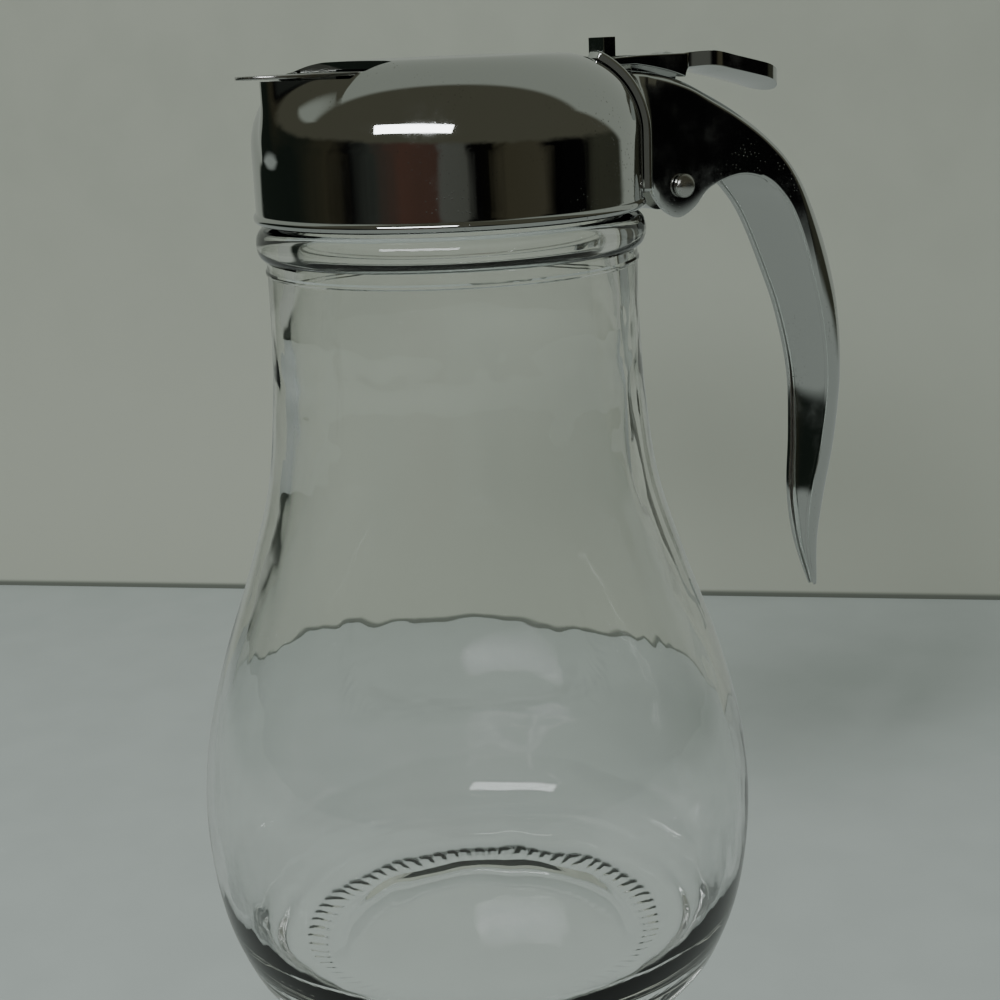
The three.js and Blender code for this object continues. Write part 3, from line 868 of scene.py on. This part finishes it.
def makeHandle():
    form = handleForm
    perStation = form["rowsPerStation"]
    spine = splineThrough([s[:2] for s in form["stations"]], perStation)
    edge = splineThrough([s[2:] for s in form["stations"]], perStation)
    proud = form["saddleGap"] + form["saddleThickness"]
    sections = [handleSection(row / perStation, (free - top).length)
                for row, (top, free) in enumerate(zip(spine, edge))]

    def placeAt(row, column):
        across, along, out = sections[row][column]
        down = (edge[row] - spine[row]).normalized()
        place = Vector((spine[row].x + down.x * along, across, spine[row].y + down.y * along))
        near = form["filletRadius"] - (offCap(*place) - proud)  # flares out where it grows from the saddle
        if near > 0 and row < form["flareTo"] * perStation:
            near = min(near, form["filletRadius"])
            swell = form["filletRadius"] - math.sqrt(form["filletRadius"] ** 2 - near ** 2)
            place += swell * abs(out) * Vector((0.0, out, 0.0))
        return place

    handle = gridOf("handle_claw", len(spine), len(sections[0]), placeAt)
    workOn(handle)
    bpy.ops.object.mode_set(mode="EDIT")
    cleanUp()
    bpy.ops.mesh.fill_holes(sides=0)
    cleanUp()
    bpy.ops.object.mode_set(mode="OBJECT")

    # saddle that hugs the back of the dome
    centre = (capForm["radius"] - capForm["shoulder"], capForm["top"] - capForm["shoulder"])
    innerSkin = capForm["shoulder"] + form["saddleGap"] - form["saddleTrim"]  # trimmed below to the cap's own form
    outerSkin = capForm["shoulder"] + proud
    steepest = math.degrees(math.acos((form["saddleTopRadius"] - centre[0]) / outerSkin))
    outline = [(centre[0] + innerSkin, form["saddleBottom"]), (centre[0] + outerSkin, form["saddleBottom"])]
    outline += arc(centre, outerSkin, 0, steepest, 20) + arc(centre, innerSkin, steepest, 0, 20)
    turn = math.radians(form["saddleHalfAngle"])
    saddle = ringAt("saddle", [(r * math.cos(turn), r * math.sin(turn), z) for r, z in outline])
    bpy.ops.object.mode_set(mode="EDIT")
    bpy.ops.mesh.select_all(action="SELECT")
    bpy.ops.mesh.edge_face_add()
    bpy.ops.mesh.spin(steps=40, angle=2 * turn, center=(0, 0, 0), axis=(0, 0, 1))  # turns clockwise from above
    cleanUp()
    bpy.ops.object.mode_set(mode="OBJECT")
    roundEdges(saddle, form["saddleEdge"], 4, 60)

    cutWith(handle, saddle, "UNION")
    skirt = capProfile(form["saddleGap"])
    under = capForm["rim"] - form["clearanceDrop"]
    cutWith(handle, spun("capClearance", skirt + [(skirt[-1][0], under), (0.0, under)], 180))
    for front, back, half, floor in (form["bladeNotch"], form["webSlot"]):
        cutWith(handle, blockAt("slotCut", (front, -half, floor), (back, half, capForm["top"] + form["slotOver"])))
    cutWith(handle, pivotDrill("boreCut", form["boreReach"]))
    smoothBy(handle, 35)
    settle(handle, "server", "handle", castChrome)


makeHandle()


# table, backdrop, light and camera

studio = {
    "handleTurn": 30.0,  # how far the handle points away from the camera
    "cameraBack": 0.2571,
    "cameraHeight": 0.1518,
    "pitch": 15.40,
    "yaw": 1.28,
    "roll": -2.43,
    "lens": 59.47,
    "sensor": 36.0,
    "nearest": 0.01,
    "wallLeft": (-0.0107, 0.2653),
    "wallRight": (0.2085, 0.0715),
    "wallHeight": 0.42,
    "wallSpread": 1.4,
    "tableSize": 0.9,
    "wallTone": (0.30, 0.315, 0.265, 1.0),
    # painted light: the wall's lower part is painted paler to lift the shade that falls near the table
    "wallFootPaintedLight": (0.36, 0.378, 0.318, 1.0),
    "wallShade": (0.12, 0.13, 0.11, 1.0),
    "wallPaintedLightTop": 0.16,  # height at which the painted light on the wall's foot ends
    # painted shadow along the wall's foot, between these heights
    "wallShadowLine": (0.0008, 0.0022),
    "tableTone": (0.40, 0.44, 0.415, 1.0),
    "mottleScale": 60.0,
    "mottle": 0.96,
    "lampBack": 0.9,
    "lampColour": (0.94, 0.97, 1.0),
    "aimHeight": 0.14,
    "lamp": {"turn": -20.0, "rise": 28.0, "size": (0.70, 0.17), "power": 4.0},
    "key": {"turn": -37.0, "rise": 45.0, "size": (0.25, 0.25), "power": 4.0},
}


def fromCamera(x, y):  # right and away, as the camera's side sees them, turned into the part's x and y
    a = math.radians(studio["handleTurn"])
    return x * math.cos(a) + y * math.sin(a), -x * math.sin(a) + y * math.cos(a)


def stageFinish(name, tone, footPaintedLight=None, shade=None):  # a shade makes it one-sided, with a painted shadow line along its foot and painted light on the lower wall above it
    material, shader, wire, place = newFinish(name)
    mottle = wire.noise(place, studio["mottleScale"], 3.0)
    colour = mottle.ramp(0.3, 0.7).tint(tone, tuple(c * studio["mottle"] for c in tone[:3]) + (1.0,))
    if shade:
        height = wire.node("ShaderNodeSeparateXYZ", {}, {0: place}, 2)
        # painted light: paler towards the wall's foot
        colour = height.ramp(0.0, studio["wallPaintedLightTop"]).tint(footPaintedLight, colour)
        # painted shadow: a dark line where the wall meets the table
        colour = height.ramp(*studio["wallShadowLine"]).tint(shade, colour)
    feed(shader, Base_Color=colour, Roughness=0.75, Specular_IOR_Level=0.2)
    if shade:
        behind = wire.node("ShaderNodeNewGeometry", out="Backfacing")
        clear = wire.node("ShaderNodeBsdfTransparent")
        front = Wire(wire.tree, shader.outputs[0])
        surface = wire.node("ShaderNodeMixShader", {}, {0: behind, 1: front, 2: clear})
        wire.tree.links.new(surface.socket, wire.tree.nodes["Material Output"].inputs["Surface"])
    return material


def stagePlane(name, corners, finish):
    freshStart()
    bpy.ops.mesh.primitive_plane_add(size=1, location=(0, 0, 0))
    plane = bpy.context.object
    plane.name = name
    for point in plane.data.vertices:
        point.co = corners[(0 if point.co.y < 0 else 2) + (0 if point.co.x < 0 else 1)]
    plane.data.materials.append(finish)
    return plane


def makeStage():
    half = studio["tableSize"]
    corners = [Vector((x, y, 0.0)) for y in (-half, half) for x in (-half, half)]
    table = stagePlane("table", corners, stageFinish("paleTable", studio["tableTone"]))
    left, right = Vector(studio["wallLeft"] + (0,)), Vector(studio["wallRight"] + (0,))
    along = (right - left) * studio["wallSpread"] / 2
    middle = (left + right) / 2
    rise = Vector((0, 0, studio["wallHeight"]))
    corners = [middle - along, middle + along, middle - along + rise, middle + along + rise]
    paleWall = stageFinish("paleWall", studio["wallTone"], studio["wallFootPaintedLight"], studio["wallShade"])
    wall = stagePlane("backdrop", corners, paleWall)
    table.visible_glossy = wall.visible_glossy = False  # the room's own tones are mirrored instead


def makeCamera():
    pitch, yaw, roll = (math.radians(studio[k]) for k in ("pitch", "yaw", "roll"))
    forward = Vector((math.sin(yaw) * math.cos(pitch), math.cos(yaw) * math.cos(pitch), -math.sin(pitch)))
    right = Vector((math.cos(yaw), -math.sin(yaw), 0.0))
    up = right.cross(forward)
    right, up = math.cos(roll) * right + math.sin(roll) * up, math.cos(roll) * up - math.sin(roll) * right
    toPart = Matrix.Rotation(-math.radians(studio["handleTurn"]), 3, "Z")
    axes = Matrix((toPart @ right, toPart @ up, toPart @ -forward)).transposed().to_4x4()
    spot = toPart @ Vector((0.0, -studio["cameraBack"], studio["cameraHeight"]))
    bpy.ops.object.camera_add(location=(0, 0, 0))
    camera = bpy.context.object
    camera.matrix_world = Matrix.Translation(spot) @ axes
    camera.data.sensor_width = studio["sensor"]
    camera.data.lens = studio["lens"]
    camera.data.clip_start = studio["nearest"]
    bpy.context.scene.camera = camera


def makeLamp(turn, rise, size, power):
    turn, rise = math.radians(turn), math.radians(rise)
    x, y = fromCamera(math.sin(turn), -math.cos(turn))
    aim = Vector((x * math.cos(rise), y * math.cos(rise), math.sin(rise)))
    target = Vector((0, 0, studio["aimHeight"]))
    bpy.ops.object.light_add(type="AREA", location=target + aim * studio["lampBack"])
    lamp = bpy.context.object
    lamp.rotation_euler = aim.to_track_quat("Z", "Y").to_euler()
    lamp.data.shape = "RECTANGLE"
    lamp.data.size, lamp.data.size_y = size
    lamp.data.energy = power
    lamp.data.color = studio["lampColour"]
    return lamp


roomLook = {
    "softLight": 0.62,
    "softTone": (0.62, 0.65, 0.62, 1.0),
    "backTone": (0.27, 0.295, 0.26, 1.0),
    "backHeight": 0.47,
    "backSlope": 0.9,
    "backLean": 0.9,
    "backEdge": (-0.04, 0.06),
    "tableTone": (0.27, 0.30, 0.28, 1.0),
    "tableEdge": (-0.22, -0.14),
    "ceilingTone": (0.075, 0.075, 0.055, 1.0),
    "ceilingEdge": (0.10, 0.20),
    "ceilingTilt": 0.08,
    "ceilingWobble": 0.12,
    "wobbleScale": 7.0,
    "bandWobble": 0.05,
    # tones around the horizon, from behind over the left, the camera and the right to behind
    "bands": [
        (0.0, (0.012, 0.016, 0.012, 1)), (0.22, (0.010, 0.014, 0.011, 1)), (0.30, (0.034, 0.032, 0.020, 1)),
        (0.335, (0.004, 0.004, 0.004, 1)), (0.375, (0.032, 0.036, 0.031, 1)), (0.425, (0.072, 0.040, 0.030, 1)),
        (0.475, (0.060, 0.036, 0.028, 1)), (0.49, (0.090, 0.094, 0.084, 1)), (0.525, (0.080, 0.084, 0.072, 1)),
        (0.54, (0.003, 0.003, 0.003, 1)), (0.57, (0.004, 0.004, 0.003, 1)), (0.59, (0.050, 0.047, 0.030, 1)),
        (0.65, (0.055, 0.052, 0.035, 1)), (0.67, (0.002, 0.002, 0.002, 1)), (0.735, (0.003, 0.003, 0.003, 1)),
        (0.76, (0.038, 0.040, 0.028, 1)), (1.0, (0.030, 0.032, 0.024, 1))],
}


def makeRoom():  # even soft light, with a dim room that only mirrors and glass show
    look = roomLook
    world = bpy.data.worlds.new("room")
    bpy.context.scene.world = world
    world.use_nodes = True
    tree = world.node_tree
    tree.nodes.clear()
    wire = Wire(tree)
    ray = wire.node("ShaderNodeTexCoord", out="Generated")

    def along(x, y):
        direction = fromCamera(x, y) + (0.0,)
        return wire.node("ShaderNodeVectorMath", {"operation": "DOT_PRODUCT"}, {0: ray, 1: direction}, 1)

    away, side = along(0.0, 1.0), along(1.0, 0.0)
    up = wire.node("ShaderNodeSeparateXYZ", {}, {0: ray}, 2)
    wobble = wire.noise(ray, look["wobbleScale"], 3.0) - 0.5
    turn = wire.maths("ARCTAN2", side, -1.0 * away) * (0.5 / math.pi) + 0.5 + wobble * look["bandWobble"]
    bands = wire.node("ShaderNodeValToRGB", {"stops": look["bands"]}, {0: turn})
    top = up + look["ceilingTilt"] * side + wobble * look["ceilingWobble"]
    ceiling = top.ramp(*look["ceilingEdge"]).tint(bands, look["ceilingTone"])

    # the pale wall behind shows high up, and only narrowly near the horizon
    low = wire.maths("MAXIMUM", look["backHeight"] - up, 0.0)
    left = wire.maths("MAXIMUM", -1.0 * side, 0.0)
    edge = low * (look["backSlope"] + look["backLean"] * left)
    mirrored = (away - edge).ramp(*look["backEdge"]).tint(ceiling, look["backTone"])
    mirrored = up.ramp(*look["tableEdge"]).tint(look["tableTone"], mirrored)

    glossy = wire.node("ShaderNodeLightPath", out="Is Glossy Ray")
    through = wire.node("ShaderNodeLightPath", out="Is Transmission Ray")
    onlyMirror = wire.maths("MAXIMUM", glossy, through)
    soft = wire.node("ShaderNodeBackground", {}, {"Color": look["softTone"], "Strength": look["softLight"]})
    seen = wire.node("ShaderNodeBackground", {}, {"Color": mirrored, "Strength": 1.0})
    both = wire.node("ShaderNodeMixShader", {}, {0: onlyMirror, 1: soft, 2: seen})
    wire.node("ShaderNodeOutputWorld", {}, {"Surface": both})


makeStage()
makeCamera()
makeLamp(**studio["lamp"])
key = makeLamp(**studio["key"])
key.visible_glossy = key.visible_transmission = False  # it only casts the soft shadow
makeRoom()
print("stage, camera and light ready")
